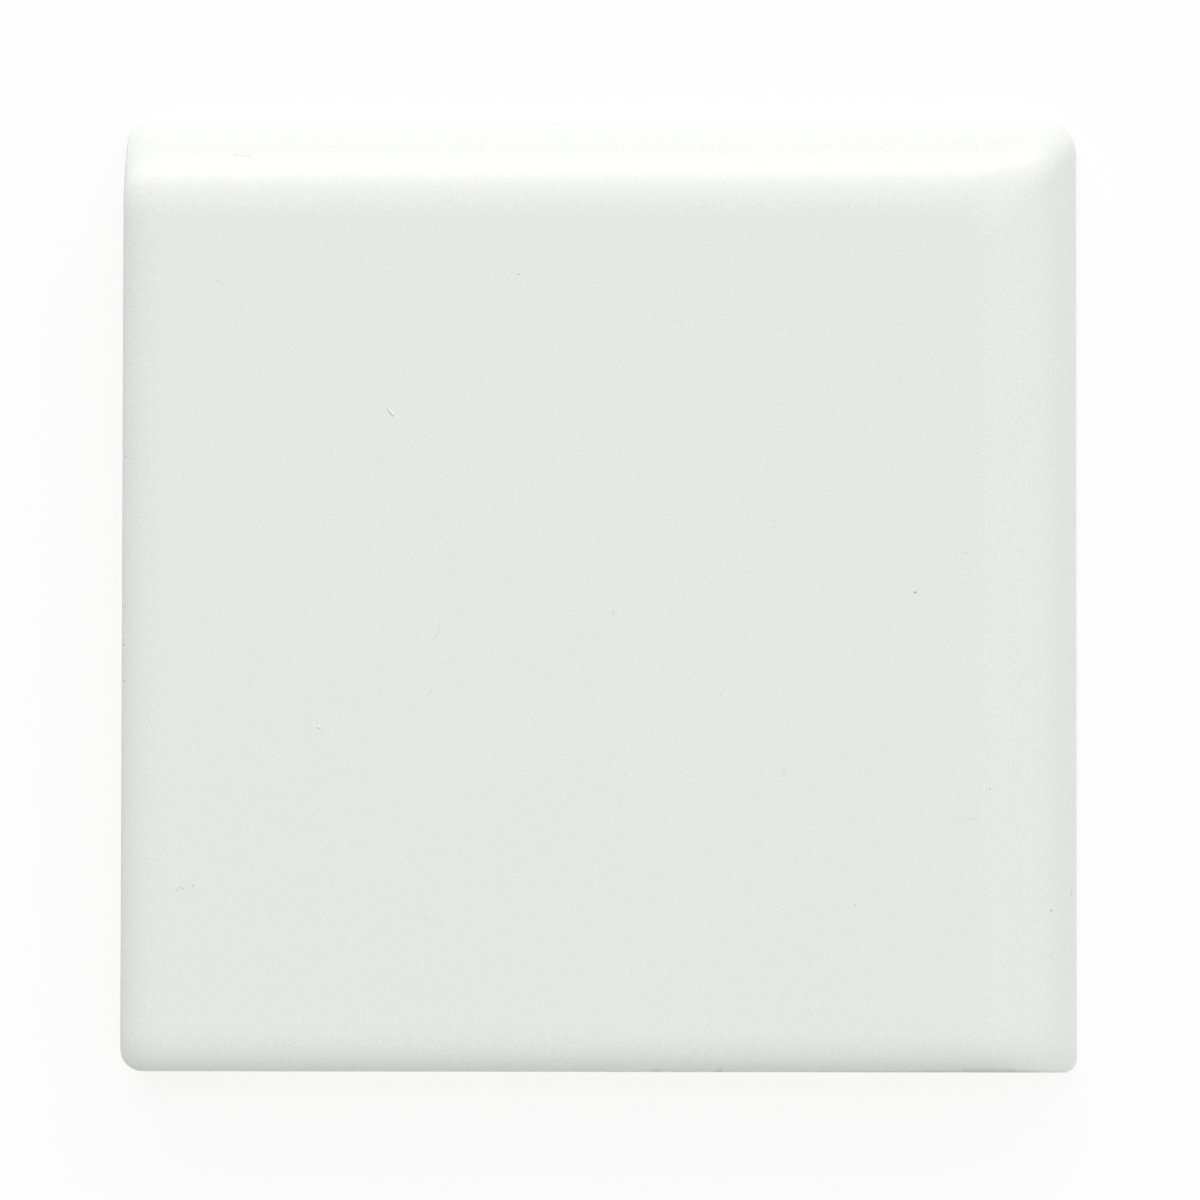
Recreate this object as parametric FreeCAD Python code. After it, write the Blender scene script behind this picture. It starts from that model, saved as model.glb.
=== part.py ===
import FreeCAD, Part
import math
import os

from FreeCAD import Vector

# A glazed wall tile for an outside corner: two neighbouring edges roll over in a bullnose and meet in a
# softened corner, the other two are square with a cushioned face edge. It lies face up, back on z = 0.
# The rolled edges are on +X and +Y, so the tile is its own mirror image across the line x = y.

# Nominal body, millimetres (a 4 1/4 in tile, 3/8 in thick).
tile_side = 108.0
tile_thickness = 9.5

# Bullnose: an arc tangent to the face that ends on a short upright land above the back.
roll_radius = 11.6
roll_land = 1.3
roll_corner_radius = 3.8

# Square edges: the face sinks along an ellipse that would stand upright just outside the edge, and a small
# arris rounds what is left into the wall.
cushion_width = 4.6
cushion_depth = 1.6
cushion_overrun = 0.3
arris_radius = 0.5

# Upright corners in plan: where a square edge meets a rolled one, and where the two square edges meet.
end_corner_radius = 1.6
square_corner_radius = 2.6

# Keyed back: square pads between crossing grooves, inside a plain border with a rubbed-off back edge.
key_pads = 7
key_border = 6.0
key_groove_width = 2.5
key_groove_depth = 0.8
back_chamfer = 0.35

half = tile_side / 2.0
top = tile_thickness
x_axis = Vector(1, 0, 0)
y_axis = Vector(0, 1, 0)
z_axis = Vector(0, 0, 1)

roll_turn = math.acos(1.0 - (top - roll_land) / roll_radius)
roll_run = roll_radius * math.sin(roll_turn)
# The face form is made a little wider than the tile all round, and the plan block trims it.
roll_reach = roll_turn + math.radians(7.0)
cushion_span = cushion_width + cushion_overrun
cushion_reach = math.asin((cushion_width + 0.8 * cushion_overrun) / cushion_span)

# The flat of the face ends at these lines: beside the cushions and at the head of the rolls.
flat_low = -half + cushion_width
flat_high = half - roll_run


def falling_arc(start, heading, radius, angle):
    """Arc that leaves the face at start along heading and bends downwards through angle."""
    ends = []
    for share in (0.0, 0.5, 1.0):
        turn = angle * share
        ends.append(start + heading * (radius * math.sin(turn)) - z_axis * (radius * (1.0 - math.cos(turn))))
    return Part.Arc(ends[0], ends[1], ends[2])


def falling_ellipse(start, heading, span, depth, angle):
    """Elliptic arc that leaves the face at start along heading, span wide and depth deep if carried on."""
    centre = start - z_axis * depth
    ellipse = Part.Ellipse(centre + heading * span, start, centre)
    return Part.ArcOfEllipse(ellipse, math.pi / 2.0 - angle, math.pi / 2.0)


def cushion_line(start, heading):
    return falling_ellipse(start, heading, cushion_span, cushion_depth, cushion_reach)


def carried(across, along, meeting):
    """Face made by carrying one curve along another without turning it; the two share the meeting point."""
    u = across.toBSpline()
    v = along.toBSpline()
    poles = []
    weights = []
    for u_pole, u_weight in zip(u.getPoles(), u.getWeights()):
        poles.append([u_pole + v_pole - meeting for v_pole in v.getPoles()])
        weights.append([u_weight * v_weight for v_weight in v.getWeights()])
    surface = Part.BSplineSurface()
    surface.buildFromPolesMultsKnots(
        poles, u.getMultiplicities(), v.getMultiplicities(), u.getKnots(), v.getKnots(),
        False, False, u.Degree, v.Degree, weights)
    return surface.toShape()


def segment(start, end):
    return Part.LineSegment(start, end).toShape()


def round_corner(corner, radius, inward_a, inward_b):
    """Quarter arc that rounds a square corner in plan, from one side to the other."""
    centre = corner + (inward_a + inward_b) * radius
    middle = centre - (inward_a + inward_b) * (radius / math.sqrt(2.0))
    return Part.Arc(corner + inward_a * radius, middle, corner + inward_b * radius)


# Plan block: the outline of the pressed tile, straight walls all round.
lower_left = round_corner(Vector(-half, -half, 0), square_corner_radius, y_axis, x_axis)
lower_right = round_corner(Vector(half, -half, 0), end_corner_radius, -x_axis, y_axis)
upper_right = round_corner(Vector(half, half, 0), roll_corner_radius, -y_axis, -x_axis)
upper_left = round_corner(Vector(-half, half, 0), end_corner_radius, x_axis, -y_axis)
outline = []
for here, following in ((lower_left, lower_right), (lower_right, upper_right),
                        (upper_right, upper_left), (upper_left, lower_left)):
    outline.append(here.toShape())
    outline.append(segment(here.EndPoint, following.StartPoint))
block = Part.Face(Part.Wire(outline)).extrude(z_axis * (top + 2.0))

# Flat of the face, its fourth corner rounded where the two rolls meet.
flat_a = Vector(flat_low, flat_low, top)
flat_b = Vector(flat_high, flat_low, top)
flat_c = Vector(flat_high, flat_high, top)
flat_d = Vector(flat_low, flat_high, top)
flat_round = round_corner(flat_c, roll_corner_radius, -y_axis, -x_axis)
flat_edges = [
    segment(flat_a, flat_b), segment(flat_b, flat_round.StartPoint), flat_round.toShape(),
    segment(flat_round.EndPoint, flat_d), segment(flat_d, flat_a)]
face_flat = Part.Face(Part.Wire(flat_edges))

# Cushions along the two square edges, and the corner between them.
cushion_left = cushion_line(flat_a, -x_axis)
cushion_low = cushion_line(flat_a, -y_axis)
face_left = cushion_left.toShape().extrude(flat_d - flat_a)
face_low = cushion_low.toShape().extrude(flat_b - flat_a)
face_square_corner = carried(cushion_left, cushion_low, flat_a)

# Rolls along the other two edges. Each cushion runs on over the end of the roll it meets.
roll_upper = falling_arc(flat_d, y_axis, roll_radius, roll_reach)
roll_right = falling_arc(flat_b, x_axis, roll_radius, roll_reach)
face_upper_end = carried(cushion_line(flat_d, -x_axis), roll_upper, flat_d)
face_right_end = carried(cushion_line(flat_b, -y_axis), roll_right, flat_b)

# Where the rolls meet, the rounded plan corner is carried down the mitre line. The mitre line of two equal
# arcs is an ellipse standing on the diagonal, so every level of the corner keeps the same plan radius.
diagonal = (x_axis + y_axis) / math.sqrt(2.0)
mitre_span = roll_radius * math.sqrt(2.0)
upper_mitre = falling_ellipse(flat_round.EndPoint, diagonal, mitre_span, roll_radius, roll_reach)
right_mitre = falling_ellipse(flat_round.StartPoint, diagonal, mitre_span, roll_radius, roll_reach)
face_upper = Part.makeRuledSurface(roll_upper.toShape(), upper_mitre.toShape())
face_right = Part.makeRuledSurface(roll_right.toShape(), right_mitre.toShape())
face_roll_corner = carried(flat_round, right_mitre, flat_round.StartPoint)

# The whole face form parts the plan block in two, and the tile is the lower piece.
form = Part.Shell([
    face_flat, face_left, face_low, face_square_corner, face_upper_end, face_right_end,
    face_upper, face_right, face_roll_corner])
form.sewShape()
pieces = block.generalFuse([Part.Shell(form.Faces)])[0].Solids
tile = min(pieces, key=lambda piece: piece.CenterOfMass.z)

# The glaze rounds the whole arris between the face form and the upright walls.
arris = []
for edge in tile.Edges:
    middle = edge.valueAt((edge.FirstParameter + edge.LastParameter) / 2.0)
    upright = 0
    for face in tile.ancestorsOfType(edge, Part.Face):
        u, v = face.Surface.parameter(middle)
        if abs(face.normalAt(u, v).z) < 1e-6:
            upright += 1
    if upright == 1 and edge.BoundBox.ZMax > 1e-6:
        arris.append(edge)
tile = tile.makeFillet(arris_radius, arris).Solids[0]

# The back edge is rubbed off all round.
back_edge = [edge for edge in tile.Edges if edge.BoundBox.ZMax < 1e-6]
tile = tile.makeChamfer(back_chamfer, back_edge).Solids[0]

# Key grooves for the adhesive, crossing at even spacing, so that the middle of the back is a pad.
field = tile_side - 2.0 * key_border - key_groove_width
pitch = field / key_pads
groove_length = field + key_groove_width
grooves = []
for number in range(key_pads + 1):
    place = -field / 2.0 + number * pitch
    grooves.append(Part.makeBox(
        key_groove_width, groove_length, key_groove_depth,
        Vector(place - key_groove_width / 2.0, -groove_length / 2.0, 0)))
    grooves.append(Part.makeBox(
        groove_length, key_groove_width, key_groove_depth,
        Vector(-groove_length / 2.0, place - key_groove_width / 2.0, 0)))
key = grooves[0].multiFuse(grooves[1:])
tile = tile.cut(key).removeSplitter().Solids[0]

os.makedirs("parts", exist_ok=True)
tile.exportStep("parts/bullnose_tile.step")
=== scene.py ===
import math

import bmesh
import bpy
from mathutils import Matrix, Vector


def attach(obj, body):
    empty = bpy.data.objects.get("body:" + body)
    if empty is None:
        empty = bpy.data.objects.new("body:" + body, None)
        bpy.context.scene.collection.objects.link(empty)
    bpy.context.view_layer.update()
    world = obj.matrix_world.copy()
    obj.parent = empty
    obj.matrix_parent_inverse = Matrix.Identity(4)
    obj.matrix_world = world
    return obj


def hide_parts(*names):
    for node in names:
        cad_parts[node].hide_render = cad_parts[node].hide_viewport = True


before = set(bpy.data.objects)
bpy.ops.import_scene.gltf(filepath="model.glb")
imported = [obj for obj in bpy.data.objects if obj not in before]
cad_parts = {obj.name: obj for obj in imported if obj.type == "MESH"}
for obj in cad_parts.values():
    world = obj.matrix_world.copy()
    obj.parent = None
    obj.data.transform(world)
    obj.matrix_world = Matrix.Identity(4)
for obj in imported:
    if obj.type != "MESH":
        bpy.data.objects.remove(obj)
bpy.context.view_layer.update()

scene = bpy.context.scene
scene.view_settings.view_transform = "Standard"

# Tile. A pressed earthenware wall tile for an outside corner, fired bare and then again under a satin white
# glaze. The flat, the two rolled edges and the corner between them are one pressing, the other two edges are
# square under a cushion of glaze, and the back is left bare and keyed for the adhesive.
mm = 0.001
tile_half = 54.0 * mm
tile_top = 9.5 * mm
roll_radius = 11.6 * mm
roll_land = 1.3 * mm
roll_corner = 3.8 * mm
cushion_width = 4.6 * mm
cushion_span = 4.9 * mm
cushion_depth = 1.6 * mm
arris = 0.5 * mm
end_corner = 1.6 * mm
square_corner = 2.6 * mm
back_chamfer = 0.35 * mm
key_pads = 7
key_border = 6.0 * mm
key_groove_width = 2.5 * mm
key_groove_depth = 0.8 * mm

roll_turn = math.acos(1.0 - (tile_top - roll_land) / roll_radius)
roll_run = roll_radius * math.sin(roll_turn)
flat_low = -tile_half + cushion_width
flat_high = tile_half - roll_run
flat_rim = 1.5 * mm
touch = 0.001 * mm
merge_reach = 4.0 * touch
arris_steps = 5
roll_steps = 32
cushion_steps = 16


def rounded_end(line, tilt):
    """Carries a falling line on through the arris, from its last tilt until it stands upright."""
    out, down = line[-1]
    for step in range(1, arris_steps + 1):
        turn = tilt + (math.pi / 2.0 - tilt) * step / arris_steps
        line.append((out + arris * (math.sin(turn) - math.sin(tilt)),
                     down + arris * (math.cos(tilt) - math.cos(turn))))
    return line


# Section of the roll: how far out and how far down from the edge of the flat.
roll_end = math.asin((roll_run - arris) / (roll_radius - arris))
roll_line = []
for step in range(1, roll_steps + 1):
    turn = roll_end * step / roll_steps
    roll_line.append((roll_radius * math.sin(turn), roll_radius * (1.0 - math.cos(turn))))
roll_line = rounded_end(roll_line, roll_end)

# Section of the cushion: an ellipse that the arris cuts short, at the tilt that the two settle on.
settling_rounds = 40
cushion_tilt = 0.0
for settling in range(settling_rounds):
    share = (cushion_width - arris * (1.0 - math.sin(cushion_tilt))) / cushion_span
    cushion_tilt = math.atan(cushion_depth / cushion_span * share / math.sqrt(1.0 - share * share))
cushion_line = []
for step in range(1, cushion_steps + 1):
    turn = math.asin(share) * step / cushion_steps
    cushion_line.append((cushion_span * math.sin(turn), cushion_depth * (1.0 - math.cos(turn))))
cushion_line = rounded_end(cushion_line, cushion_tilt)

# The flat comes first, with room on two sides for the slant of the rolls' ends.
flat_start = flat_low - roll_run - flat_rim
bpy.ops.object.select_all(action="DESELECT")
bpy.ops.mesh.primitive_plane_add(
    size=flat_high - flat_start,
    location=((flat_high + flat_start) / 2.0, (flat_high + flat_start) / 2.0, tile_top))
tile = bpy.context.active_object
tile.name = "glazed_tile"
tile.data.name = "glazed_tile"
bpy.ops.object.transform_apply(location=True)
bpy.ops.object.mode_set(mode="EDIT")


def select(kind, test):
    """Selects the verts, edges or faces of the tile that pass the test, and nothing else."""
    bpy.ops.mesh.select_mode(type={"verts": "VERT", "edges": "EDGE", "faces": "FACE"}[kind])
    bpy.ops.mesh.select_all(action="DESELECT")
    shape = bmesh.from_edit_mesh(tile.data)
    for part in getattr(shape, kind):
        part.select_set(test(part))
    shape.select_flush_mode()
    bmesh.update_edit_mesh(tile.data)


def middle(part):
    return sum((vert.co for vert in part.verts), Vector()) / len(part.verts)


def cut(place, normal, drop=False):
    """Cuts the whole tile along a plane, and drops what is in front of it where asked."""
    bpy.ops.mesh.select_all(action="SELECT")
    bpy.ops.mesh.bisect(plane_co=place, plane_no=normal, clear_outer=drop, threshold=touch)


def extrude_along(line, heading):
    """Carries the selected edges along a falling line, out along heading and down."""
    out, down = 0.0, 0.0
    for next_out, next_down in line:
        bpy.ops.mesh.extrude_edges_indiv()
        bpy.ops.transform.translate(value=heading * (next_out - out) - Vector((0.0, 0.0, next_down - down)))
        out, down = next_out, next_down


x_axis = Vector((1.0, 0.0, 0.0))
y_axis = Vector((0.0, 1.0, 0.0))
flat_corner = Vector((flat_high, flat_high, tile_top))
roll_corner_segments = 16
select("verts", lambda vert: (vert.co - flat_corner).length < touch)
bpy.ops.mesh.bevel(
    offset=roll_corner, offset_type="OFFSET", segments=roll_corner_segments, profile=0.5, affect="VERTICES")
for axis in (x_axis, y_axis):
    cut(axis * (flat_high - roll_corner - flat_rim), axis)

# Both rolls and their corner in one go: the rounded border of the flat sinks along the mitre, unturned.
select("edges", lambda edge: edge.is_boundary and min(middle(edge).xy) > flat_start + touch)
extrude_along(roll_line, x_axis + y_axis)
for axis in (x_axis, y_axis):
    cut(axis * flat_low, -axis, drop=True)
    cut(axis * (flat_low + flat_rim), axis)

# The cushions run on over the ends of the rolls.
select("edges", lambda edge: edge.is_boundary and abs(middle(edge).x - flat_low) < touch)
extrude_along(cushion_line, -x_axis)
select("edges", lambda edge: edge.is_boundary and abs(middle(edge).y - flat_low) < touch)
extrude_along(cushion_line, -y_axis)

# The other three upright corners are rounded off in plan, facet by facet.
corner_facets = 12
rounded_corners = ((-1.0, 1.0, end_corner), (1.0, -1.0, end_corner), (-1.0, -1.0, square_corner))
for x_side, y_side, radius in rounded_corners:
    centre = Vector((x_side * (tile_half - radius), y_side * (tile_half - radius), 0.0))
    for facet in range(corner_facets):
        turn = (facet + 0.5) / corner_facets * math.pi / 2.0
        outward = Vector((x_side * math.cos(turn), y_side * math.sin(turn), 0.0))
        cut(centre + outward * radius, outward, drop=True)
bpy.ops.mesh.select_all(action="SELECT")
bpy.ops.mesh.remove_doubles(threshold=merge_reach)

# The rim goes down into the walls, by narrow rows first so that the arris shades cleanly, then in under the
# rubbed-off back edge, and the back closes it.
wall_rows = 3
wall_row_height = 0.12 * mm
select("edges", lambda edge: edge.is_boundary)
for row in range(wall_rows):
    bpy.ops.mesh.extrude_edges_indiv()
    bpy.ops.transform.translate(value=(0.0, 0.0, -wall_row_height))
bpy.ops.mesh.extrude_edges_indiv()
bpy.ops.transform.resize(value=(1.0, 1.0, 0.0), center_override=(0.0, 0.0, back_chamfer))
drawn_in = 1.0 - back_chamfer / tile_half
bpy.ops.mesh.extrude_edges_indiv()
bpy.ops.transform.resize(value=(drawn_in, drawn_in, 1.0), center_override=(0.0, 0.0, 0.0))
bpy.ops.transform.translate(value=(0.0, 0.0, -back_chamfer))
bpy.ops.mesh.edge_face_add()

# Key grooves: the back is ruled into strips inside its border, and the strips between the pads sink in.
key_edge = tile_half - key_border


def on_back(face, reach):
    place = middle(face)
    return abs(place.z) < touch and max(abs(place.x), abs(place.y)) < reach


def rule_back(axis, place, reach):
    select("faces", lambda face: on_back(face, reach))
    bpy.ops.mesh.bisect(plane_co=axis * place, plane_no=axis, threshold=touch)


key_pitch = (2.0 * key_edge - key_groove_width) / key_pads
grooves = [-key_edge + key_groove_width / 2.0 + number * key_pitch for number in range(key_pads + 1)]
for axis in (x_axis, y_axis):
    for place in (-key_edge, key_edge):
        rule_back(axis, place, tile_half)
for axis in (x_axis, y_axis):
    for groove in grooves:
        for place in (groove - key_groove_width / 2.0, groove + key_groove_width / 2.0):
            if abs(place) < key_edge - touch:
                rule_back(axis, place, key_edge)


def in_groove(face):
    place = middle(face)
    return on_back(face, key_edge) and any(
        abs(place.x - groove) < key_groove_width / 2.0 or abs(place.y - groove) < key_groove_width / 2.0
        for groove in grooves)


select("faces", in_groove)
bpy.ops.mesh.extrude_region()
bpy.ops.transform.translate(value=(0.0, 0.0, key_groove_depth))

# The flat gets a narrow rim, so that the bend of the edges does not shade it, and the glaze softens the
# arris round the upright corners.
softened_reach = 0.35 * mm
softened_above = 0.5 * mm
select("faces", lambda face: min(vert.co.z for vert in face.verts) > tile_top - touch)
bpy.ops.mesh.inset(thickness=flat_rim, depth=0.0)
bpy.ops.mesh.select_all(action="SELECT")
bpy.ops.mesh.remove_doubles(threshold=merge_reach)


def on_corner_arris(vert):
    for x_side, y_side, radius in rounded_corners:
        across = tile_half - x_side * vert.co.x
        along = tile_half - y_side * vert.co.y
        if across < radius and along < radius:
            reach = radius - math.hypot(radius - across, radius - along)
            return reach < softened_reach and vert.co.z > softened_above
    return False


select("verts", on_corner_arris)
bpy.ops.mesh.vertices_smooth(factor=0.5, repeat=3)

# Pinholes that burst in the firing, and nicks in the arris, in millimetres: place, radius, depth of colour.
pinholes = (
    (-8.93, 36.16, 0.13, 0.55), (20.04, 8.15, 0.13, 0.20), (41.74, 4.50, 0.11, 0.28), (35.95, 0.01, 0.14, 0.85),
    (1.84, -2.23, 0.12, 0.35), (10.47, -9.68, 0.09, 0.22), (14.03, -11.47, 0.10, 0.26), (3.25, -20.58, 0.09, 0.24),
    (6.05, -31.91, 0.09, 0.24), (-24.56, -11.34, 0.09, 0.24), (44.39, -22.15, 0.14, 0.42),
    (29.23, -35.18, 0.11, 0.42), (-19.36, -36.68, 0.12, 0.28), (-43.01, 35.45, 0.11, 0.32),
    (-40.30, 32.61, 0.09, 0.25), (51.21, -35.75, 0.13, 0.55), (52.67, -40.00, 0.09, 0.22),
    (-53.60, 15.60, 0.13, 0.30), (-53.60, -1.42, 0.15, 0.20), (-53.78, -5.76, 0.15, 0.28),
    (-53.84, -7.38, 0.13, 0.28), (-53.66, -9.86, 0.14, 0.30))

# Hairs and brush bristles that burnt out under the glaze: width, depth of colour, and the line they left.
hairs = (
    (0.12, 0.20, (-23.72, 20.75), (-23.25, 20.15)),
    (0.11, 0.30, (-17.84, -3.23), (-17.78, -4.14), (-17.65, -4.34), (-18.33, -4.97)),
    (0.11, 0.32, (-18.60, -10.91), (-18.73, -11.18), (-19.06, -11.29)),
    (0.12, 0.44, (21.42, -19.90), (20.95, -20.04), (20.75, -20.18), (21.08, -20.42), (21.36, -20.34)),
    (0.10, 0.34, (41.45, -25.34), (42.09, -25.53), (42.91, -25.60)),
    (0.15, 0.60, (-47.50, -33.67), (-47.39, -33.31), (-47.03, -33.12), (-46.84, -33.40)),
    (0.14, 0.55, (-45.73, -33.31), (-45.56, -32.94)),
    (0.12, 0.55, (23.91, -47.08), (24.06, -47.30), (24.33, -47.53)),
    (0.11, 0.40, (53.56, -33.20), (53.46, -33.55), (53.42, -33.95)),
    (0.10, 0.40, (-41.91, 50.00), (-39.68, 50.00)),
    (0.24, 0.12, (34.64, 24.51), (34.20, 24.29), (34.04, 23.87), (34.20, 23.46)))

# Nicks where the glaze ran thin on the lower arris, and past them a dark line painted along the arris, darkest
# near the roll, which is painted shade under that edge. All in the same way.
arris_nicks_and_painted_shade = (
    (0.40, 0.24, (6.30, -54.00), (7.00, -53.92)),
    (0.26, 0.20, (8.60, -54.02), (9.90, -54.02)),
    (0.44, 0.24, (13.50, -54.02), (14.00, -53.92)),
    (0.26, 0.10, (22.00, -54.02), (30.00, -54.02)),
    (0.30, 0.15, (30.00, -54.02), (38.00, -54.02)),
    (0.44, 0.22, (37.00, -54.02), (43.50, -54.00)),
    (0.70, 0.27, (41.50, -54.02), (47.00, -54.00)),
    (0.44, 0.22, (46.00, -54.00), (49.60, -54.02)))

# Grit under the glaze that stands proud: width, height, and the line it lies on.
grit = (
    (0.26, 0.060, (-31.46, -15.10), (-31.36, -15.16)),
    (0.20, 0.070, (-23.68, 20.92), (-23.12, 20.24)))

# The small square of the face round each flaw, and round each stretch of the painted shade line, is cut free, to
# take the flawed glaze. It reaches a little past where the mark fades out, at so many times its radius or width.
spot_reach = 1.5
stroke_reach = 1.0
flaw_margin = 0.1
facing_up = 0.05
flaw_and_shade_squares = [(x, x, y, y, (spot_reach + flaw_margin) * radius) for x, y, radius, depth in pinholes]
for width, depth, *line in hairs + arris_nicks_and_painted_shade + grit:
    over = [point[0] for point in line]
    up = [point[1] for point in line]
    flaw_and_shade_squares.append((min(over), max(over), min(up), max(up), (stroke_reach + flaw_margin) * width))
flaw_and_shade_squares = [
    ((left - rim) * mm, (right + rim) * mm, (low - rim) * mm, (high + rim) * mm)
    for left, right, low, high, rim in flaw_and_shade_squares]


def over_square(face, square):
    left, right, low, high = square
    over = [vert.co.x for vert in face.verts]
    up = [vert.co.y for vert in face.verts]
    return face.normal.z > facing_up and (
        min(over) < right - touch and max(over) > left + touch
        and min(up) < high - touch and max(up) > low + touch)


for square in flaw_and_shade_squares:
    for axis, place in zip((x_axis, x_axis, y_axis, y_axis), square):
        select("faces", lambda face: over_square(face, square))
        bpy.ops.mesh.bisect(plane_co=axis * place, plane_no=axis, threshold=touch)
bpy.ops.mesh.select_all(action="SELECT")
bpy.ops.mesh.remove_doubles(threshold=merge_reach)
select("faces", lambda face: len(face.verts) > 4)
bpy.ops.mesh.quads_convert_to_tris(quad_method="BEAUTY", ngon_method="BEAUTY")
bpy.ops.mesh.select_all(action="SELECT")
bpy.ops.mesh.normals_make_consistent(inside=False)
bpy.ops.object.mode_set(mode="OBJECT")
smooth_angle = math.radians(35.0)
bpy.ops.object.shade_smooth_by_angle(angle=smooth_angle)


class Wire:
    """An output in a material's node tree. Arithmetic on it adds Math nodes."""

    def __init__(self, tree, made=None, output=0):
        self.tree = tree
        self.made = made
        self.output = output

    def out(self, output):
        return Wire(self.tree, self.made, output)

    def node(self, kind, settings=None, inputs=None, output=0):
        """Adds any other node: its settings first, then the values or links of its sockets."""
        made = self.tree.nodes.new(kind)
        for name, value in (settings or {}).items():
            setattr(made, name, value)
        for name, value in (inputs or {}).items():
            if isinstance(value, Wire):
                self.tree.links.new(value.made.outputs[value.output], made.inputs[name])
            else:
                made.inputs[name].default_value = value
        return Wire(self.tree, made, output)

    def maths(self, operation, first, second):
        return self.node("ShaderNodeMath", {"operation": operation}, {0: first, 1: second})

    def __add__(self, other):
        return self.maths("ADD", self, other)

    def __radd__(self, other):
        return self.maths("ADD", other, self)

    def __sub__(self, other):
        return self.maths("SUBTRACT", self, other)

    def __rsub__(self, other):
        return self.maths("SUBTRACT", other, self)

    def __mul__(self, other):
        return self.maths("MULTIPLY", self, other)

    def __rmul__(self, other):
        return self.maths("MULTIPLY", other, self)


def highest(first, second):
    return first.maths("MAXIMUM", first, second)


def fade(value, full, none):
    """1 where value has reached full, 0 where it has reached none, soft in between."""
    return value.node("ShaderNodeMapRange", {"interpolation_type": "SMOOTHSTEP"}, {
        "Value": value, "From Min": none, "From Max": full, "To Min": 0.0, "To Max": 1.0})


def noise(place, grain, detail):
    """Cloudy noise from 0 to 1 with grains about that many millimetres wide."""
    return place.node("ShaderNodeTexNoise", {"noise_dimensions": "3D"}, {
        "Vector": place, "Scale": 1.0 / grain, "Detail": detail, "Roughness": 0.5})


def blend(factor, first, second):
    mixed = factor.node("ShaderNodeMix", {"data_type": "RGBA"}, {"Factor": factor, 6: first, 7: second})
    return mixed.out(2)


glaze_white = (0.777, 0.793, 0.753, 1.0)
# The brown of the flaws, also used for painted shade along the lower arris.
flaw_and_shade_brown = (0.300, 0.290, 0.255, 1.0)
body_buff = (0.640, 0.560, 0.455, 1.0)
body_dark = (0.560, 0.475, 0.375, 1.0)
satin = 0.35
dry = 0.92

# Glaze and body in millimetres: the width of their grains and the height of their relief.
cloud_width = 14.0
grain_width = 0.17
grain_height = 0.0015
ripple_width = 0.75
ripple_height = 0.004
stain_depth = 0.02
break_width = 0.35
sand_width = 0.6
sand_height = 0.05
glaze_height = 0.03

# Height of the line where the glaze ends, how far it swings and how softly it ends, on the square walls and on
# the rolls, and where the rolls take over from the walls. All in millimetres.
wall_glaze_line = 4.4
wall_glaze_swing = 1.0
roll_glaze_line = 0.45
roll_glaze_swing = 0.3
swing_width = 6.0
glaze_full = 0.10
glaze_none = -0.05
on_rolls_full = 50.0
on_rolls_none = 38.0

# The back stays bare up to half way over its rubbed-off edge, by the place from the middle and so many heights.
back_slope = 10.0
off_back_full = 56.0
off_back_none = 55.5

# How much the cloudiness and the grain change the colour and the roughness.
cloud_tone = 0.010
grain_tone = 0.26
cloud_gloss = 0.06
grain_gloss = 0.05

# A flaw has its full depth up to so many times its radius or width.
spot_core = 0.3
stroke_core = 0.1


def spots(plan, marks):
    """Depth of round marks, from the place on the face."""
    deepest = None
    for x, y, radius, depth in marks:
        reach = plan.node("ShaderNodeVectorMath", {"operation": "DISTANCE"}, {0: plan, 1: (x, y, 0.0)}, "Value")
        spot = depth * fade(reach, spot_core * radius, spot_reach * radius)
        deepest = spot if deepest is None else highest(deepest, spot)
    return deepest


def strokes(plan, marks):
    """Depth of drawn-out marks, from the place on the face."""
    deepest = None
    for width, depth, *line in marks:
        for start, end in zip(line, line[1:]):
            run = Vector((end[0] - start[0], end[1] - start[1], 0.0))
            offset = plan.node("ShaderNodeVectorMath", {"operation": "SUBTRACT"}, {0: plan, 1: (*start, 0.0)})
            share = plan.node("ShaderNodeVectorMath", {"operation": "DOT_PRODUCT"}, {
                0: offset, 1: run / run.length_squared}, "Value")
            share = share.node("ShaderNodeClamp", inputs={"Value": share})
            foot = plan.node("ShaderNodeVectorMath", {"operation": "SCALE"}, {0: run, "Scale": share})
            reach = plan.node("ShaderNodeVectorMath", {"operation": "DISTANCE"}, {0: offset, 1: foot}, "Value")
            stroke = depth * fade(reach, stroke_core * width, stroke_reach * width)
            deepest = stroke if deepest is None else highest(deepest, stroke)
    return deepest


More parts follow.
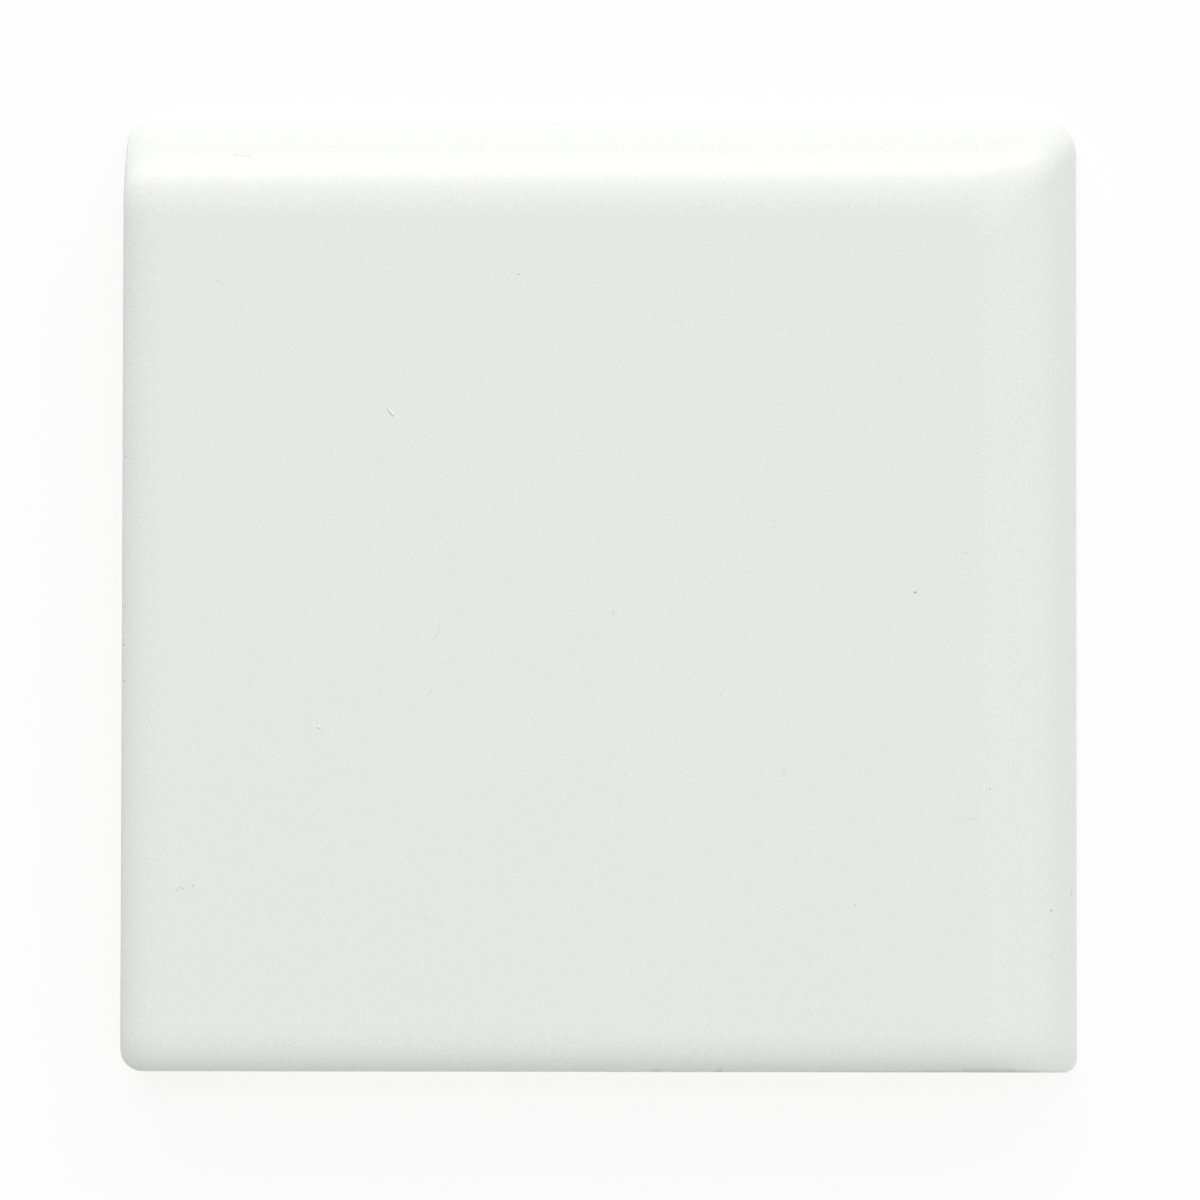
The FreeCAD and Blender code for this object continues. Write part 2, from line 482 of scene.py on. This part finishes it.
def satin_glaze(name, flawed=False, ends=False):
    """The glaze, with flaws and a painted shade line, or with its end line and bare body past it, where asked."""
    glaze = bpy.data.materials.new(name)
    glaze.use_nodes = True
    wire = Wire(glaze.node_tree)
    surface = glaze.node_tree.nodes["Principled BSDF"]
    place = wire.node("ShaderNodeVectorMath", {"operation": "SCALE"}, {
        0: wire.node("ShaderNodeTexCoord", output="Object"), "Scale": 1.0 / mm})

    # A faint cloudiness and a fine grain, satin all over, with the ripple of a sprayed glaze.
    cloud = noise(place, cloud_width, 1.0) - 0.5
    grain = noise(place, grain_width, 1.0) - 0.5
    colour = place.node("ShaderNodeVectorMath", {"operation": "SCALE"}, {
        0: glaze_white[:3], "Scale": 1.0 + cloud_tone * cloud + grain_tone * grain})
    roughness = satin + cloud_gloss * cloud + grain_gloss * grain
    relief = ripple_height * noise(place, ripple_width, 0.0) + grain_height * grain

    # Flaws and painted shade: the hairs are broken into dashes, and every stain and the shade line are shallow dips.
    if flawed:
        plan = place.node("ShaderNodeVectorMath", {"operation": "MULTIPLY"}, {0: place, 1: (1.0, 1.0, 0.0)})
        broken = fade(noise(plan, break_width, 1.0), 0.75, 0.25)
        stain_and_shade = highest(spots(plan, pinholes), broken * strokes(plan, hairs))
        # The dark line along the lower arris is painted shade, in the flaws' brown.
        stain_and_shade = highest(stain_and_shade, strokes(plan, arris_nicks_and_painted_shade))
        colour = blend(stain_and_shade, colour, flaw_and_shade_brown)
        relief = relief - stain_depth * stain_and_shade + strokes(plan, grit)

    # The glaze ends in an uneven line part of the way down the square walls, and near the back on the rolls.
    if ends:
        across = place.node("ShaderNodeSeparateXYZ", inputs={0: place})
        along = across.out(1)
        height = across.out(2)
        on_rolls = fade(highest(across, along), on_rolls_full, on_rolls_none)
        swing = wall_glaze_swing + (roll_glaze_swing - wall_glaze_swing) * on_rolls
        glaze_line = wall_glaze_line + (roll_glaze_line - wall_glaze_line) * on_rolls
        glaze_line = glaze_line + swing * (noise(place, swing_width, 1.0) - 0.5)
        outer = highest(across.maths("ABSOLUTE", across, 0.0), along.maths("ABSOLUTE", along, 0.0))
        off_back = fade(outer + back_slope * height, off_back_full, off_back_none)
        glazed = fade(height - glaze_line, glaze_full, glaze_none) * off_back
        sand = noise(place, sand_width, 4.0)
        bare = blend(fade(sand, 0.62, 0.40), body_buff, body_dark)
        colour = blend(glazed, bare, colour)
        roughness = dry - glazed * (dry - roughness)
        relief = glazed * (relief + glaze_height) + (1.0 - glazed) * sand_height * sand

    glaze.node_tree.links.new(colour.made.outputs[colour.output], surface.inputs["Base Color"])
    glaze.node_tree.links.new(roughness.made.outputs[0], surface.inputs["Roughness"])
    bump = relief.node("ShaderNodeBump", inputs={"Strength": 1.0, "Distance": mm, "Height": relief})
    glaze.node_tree.links.new(bump.made.outputs[0], surface.inputs["Normal"])
    tile.data.materials.append(glaze)


# The plain glaze covers the face, the flawed glaze with its painted shade line the small squares, and the third
# one the walls and the back.
satin_glaze("satin_white_glaze")
satin_glaze("white_glaze_with_flaws_and_painted_shade", flawed=True)
satin_glaze("glaze_and_bare_body", ends=True)
glazed_above = 5.2 * mm
for face in tile.data.polygons:
    x, y = face.center.x, face.center.y
    if face.normal.z > facing_up and any(
            left < x < right and low < y < high for left, right, low, high in flaw_and_shade_squares):
        face.material_index = 1
    elif min(tile.data.vertices[corner].co.z for corner in face.vertices) < glazed_above:
        face.material_index = 2

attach(tile, "root")
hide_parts("bullnose_tile")

# Floor. A sheet of white paper just under the tile. It shows as white from the lens and in reflections, with a
# share of its lit side left in, so that the tile keeps a faint shadow. It is clear from below and right against
# the tile, like a glass table, so that the keyed back can be looked at and is lit.
floor_size = 6.0
floor_gap = 0.05 * mm
floor_clear_reach = 2.0 * mm
shadow_share = 0.14
paper_white = (0.95, 0.95, 0.95, 1.0)
bpy.ops.object.select_all(action="DESELECT")
bpy.ops.mesh.primitive_plane_add(size=floor_size, location=(0.0, 0.0, -floor_gap))
floor = bpy.context.active_object
floor.name = "paper_floor"
paper = bpy.data.materials.new("white_paper")
paper.use_nodes = True
paper.node_tree.nodes.clear()
wire = Wire(paper.node_tree)


def seen(wire):
    """1 for a ray that shows the background: from the lens, off a gloss or through a clear thing."""
    path = wire.node("ShaderNodeLightPath", output="Is Camera Ray")
    return highest(highest(path, path.out("Is Glossy Ray")), path.out("Is Transmission Ray"))


lit = wire.node("ShaderNodeBsdfDiffuse", inputs={"Color": paper_white})
white = wire.node("ShaderNodeEmission", inputs={"Strength": 1.0})
sheet = wire.node("ShaderNodeMixShader", inputs={0: (1.0 - shadow_share) * seen(wire), 1: lit, 2: white})
reach = wire.node("ShaderNodeLightPath", output="Ray Length")
clear = highest(
    wire.node("ShaderNodeNewGeometry", output="Backfacing"), fade(reach, floor_clear_reach, 2.0 * floor_clear_reach))
wire.node("ShaderNodeOutputMaterial", inputs={
    "Surface": wire.node("ShaderNodeMixShader", inputs={
        0: clear, 1: sheet, 2: wire.node("ShaderNodeBsdfTransparent")})})
floor.data.materials.append(paper)

# Studio light. Two long strips behind the upper roll, broad soft panels above, to the right and in front, all
# far enough off to light the face evenly, in a pale room that fills in a little from all round. Below the
# floor the room is brighter, where only the back of the tile sees it.
lamp_distance = 6.0

# Each lamp has its azimuth and elevation in degrees, its long and short side in metres, and its watts.
lamps = (
    ("low_strip_behind", 90.0, 25.0, 10.8, 1.8, 205.0),
    ("high_strip_behind", 90.0, 35.0, 10.8, 1.8, 152.0),
    ("panel_right", 0.0, 25.0, 10.8, 4.5, 104.0),
    ("panel_above", 90.0, 89.0, 8.0, 8.0, 192.0),
    ("panel_front", 270.0, 25.0, 10.8, 4.5, 78.0))
for name, azimuth, elevation, long_side, short_side, watts in lamps:
    turn, rise = math.radians(azimuth), math.radians(elevation)
    toward = Vector((math.cos(rise) * math.cos(turn), math.cos(rise) * math.sin(turn), math.sin(rise)))
    bpy.ops.object.light_add(
        type="AREA", location=toward * lamp_distance, rotation=toward.to_track_quat("Z", "Y").to_euler())
    lamp = bpy.context.active_object
    lamp.name = name
    lamp.data.shape = "RECTANGLE"
    lamp.data.size = long_side
    lamp.data.size_y = short_side
    lamp.data.energy = watts

room_white = (1.0, 1.0, 1.0, 1.0)
room_fill = 0.15
room_fill_below = 0.80
room_below = -0.05
room = bpy.data.worlds.new("pale_room")
scene.world = room
room.use_nodes = True
room.node_tree.nodes.clear()
wire = Wire(room.node_tree)
direction = wire.node("ShaderNodeSeparateXYZ", inputs={0: wire.node("ShaderNodeTexCoord", output="Generated")})
fill = wire.node("ShaderNodeBackground", inputs={"Color": room_white, "Strength": room_fill})
fill_below = wire.node("ShaderNodeBackground", inputs={"Color": room_white, "Strength": room_fill_below})
fill = wire.node("ShaderNodeMixShader", inputs={0: fade(direction.out(2), room_below, 0.0), 1: fill, 2: fill_below})
backdrop = wire.node("ShaderNodeBackground", inputs={"Color": room_white, "Strength": 1.0})
wire.node("ShaderNodeOutputWorld", inputs={
    "Surface": wire.node("ShaderNodeMixShader", inputs={0: seen(wire), 1: fill, 2: backdrop})})

# Camera. A long lens above the tile's lower right corner, tipped just enough to bring the tile into the middle
# of the frame. It has no shift, so that the other views keep the tile in the frame too.
lens_place = Vector((66.67, -54.00, 1109.50)) * mm
lens_turn = [math.radians(turn) for turn in (2.7707, 3.4445, 0.0913)]
bpy.ops.object.camera_add(location=lens_place, rotation=lens_turn)
camera = bpy.context.active_object
camera.name = "camera"
camera.data.sensor_width = 36.0
camera.data.lens = 293.14
camera.data.clip_start = 0.01
scene.camera = camera
